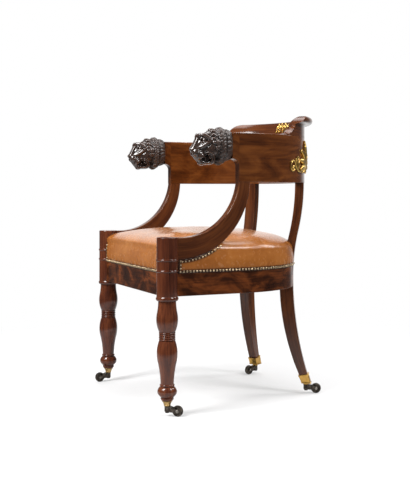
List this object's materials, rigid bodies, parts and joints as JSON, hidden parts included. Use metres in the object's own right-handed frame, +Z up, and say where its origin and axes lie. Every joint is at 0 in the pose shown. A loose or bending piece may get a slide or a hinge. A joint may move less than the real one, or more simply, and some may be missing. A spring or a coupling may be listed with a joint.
{
  "type": "desk armchair",
  "caption": "Horseshoe-back desk armchair with turned front legs, sabre rear legs, carved lion-head arm ends, stuffed leather seat, gilt mounts and swivelling casters.",
  "frame": {"origin": "on the floor, at the middle of the chair's box", "axes": "+Z up, the front faces -Y, +X to the sitter's left"},
  "size_m": [0.574, 0.6038, 0.83],
  "materials": {
    "mahogany": "french polished",
    "beech": "raw",
    "dark_carving": "dark stained and polished",
    "gilt_bronze": "gilt, satin",
    "tan_leather": "waxed, worn on top",
    "horsehair": "matt",
    "hessian": "woven, matt",
    "webbing": "woven, matt",
    "brass": "polished",
    "dark_metal": "dark patina",
    "steel": "worn",
    "dark_wheel": "dark, worn tread"
  },
  "bodies": {
    "chair_frame": {"front_leg_left": "mahogany", "front_leg_right": "mahogany", "rear_leg_left": "mahogany", "rear_leg_right": "mahogany", "side_seat_rail_left": "mahogany", "side_seat_rail_right": "mahogany", "arm_left": "mahogany", "arm_right": "mahogany", "front_seat_rail": "mahogany", "rear_seat_rail": "mahogany", "back_yoke": "mahogany", "crest_rail": "mahogany", "corner_block_left": "beech", "corner_block_right": "beech", "crest_dowels": "beech", "lion_head_left": "dark_carving", "lion_head_right": "dark_carving", "crest_mount": "gilt_bronze", "back_mount_left": "gilt_bronze", "back_mount_right": "gilt_bronze", "rear_sabot_left": "gilt_bronze", "rear_sabot_right": "gilt_bronze", "seat_leather": "tan_leather", "seat_stuffing": "horsehair", "seat_hessian": "hessian", "seat_webbing": "webbing", "front_cup_left": "brass", "front_cup_right": "brass", "caster_pintle_front_left": "dark_metal", "caster_pintle_front_right": "dark_metal", "caster_pintle_rear_left": "dark_metal", "caster_pintle_rear_right": "dark_metal"},
    "horn_front_left": {"caster_horn_front_left": "dark_metal", "caster_axle_front_left": "steel"},
    "wheel_front_left": {"caster_wheel_front_left": "dark_wheel"},
    "horn_front_right": {"caster_horn_front_right": "dark_metal", "caster_axle_front_right": "steel"},
    "wheel_front_right": {"caster_wheel_front_right": "dark_wheel"},
    "horn_rear_left": {"caster_horn_rear_left": "dark_metal", "caster_axle_rear_left": "steel"},
    "wheel_rear_left": {"caster_wheel_rear_left": "dark_wheel"},
    "horn_rear_right": {"caster_horn_rear_right": "dark_metal", "caster_axle_rear_right": "steel"},
    "wheel_rear_right": {"caster_wheel_rear_right": "dark_wheel"}
  },
  "joints": [
    {"name": "caster_swivel_front_left", "type": "hinge", "parent": "chair_frame", "child": "horn_front_left", "pos_m": [0.251, -0.2571, 0.027], "axis": [0, 0, 1], "continuous": true},
    {"name": "wheel_spin_front_left", "type": "hinge", "parent": "horn_front_left", "child": "wheel_front_left", "pos_m": [0.27028, -0.23412, 0.015], "axis": [-0.766, 0.6428, 0], "continuous": true},
    {"name": "caster_swivel_front_right", "type": "hinge", "parent": "chair_frame", "child": "horn_front_right", "pos_m": [-0.251, -0.2571, 0.027], "axis": [0, 0, 1], "continuous": true},
    {"name": "wheel_spin_front_right", "type": "hinge", "parent": "horn_front_right", "child": "wheel_front_right", "pos_m": [-0.24786, -0.28694, 0.015], "axis": [0.9945, 0.1045, 0], "continuous": true},
    {"name": "caster_swivel_rear_left", "type": "hinge", "parent": "chair_frame", "child": "horn_rear_left", "pos_m": [0.16394, 0.22834, 0.027], "axis": [0, 0, 1], "continuous": true},
    {"name": "wheel_spin_rear_left", "type": "hinge", "parent": "horn_rear_left", "child": "wheel_rear_left", "pos_m": [0.17661, 0.25553, 0.015], "axis": [-0.9063, 0.4226, 0], "continuous": true},
    {"name": "caster_swivel_rear_right", "type": "hinge", "parent": "chair_frame", "child": "horn_rear_right", "pos_m": [-0.16394, 0.22834, 0.027], "axis": [0, 0, 1], "continuous": true},
    {"name": "wheel_spin_rear_right", "type": "hinge", "parent": "horn_rear_right", "child": "wheel_rear_right", "pos_m": [-0.15516, 0.19965, 0.015], "axis": [0.9563, 0.2924, 0], "continuous": true}
  ]
}
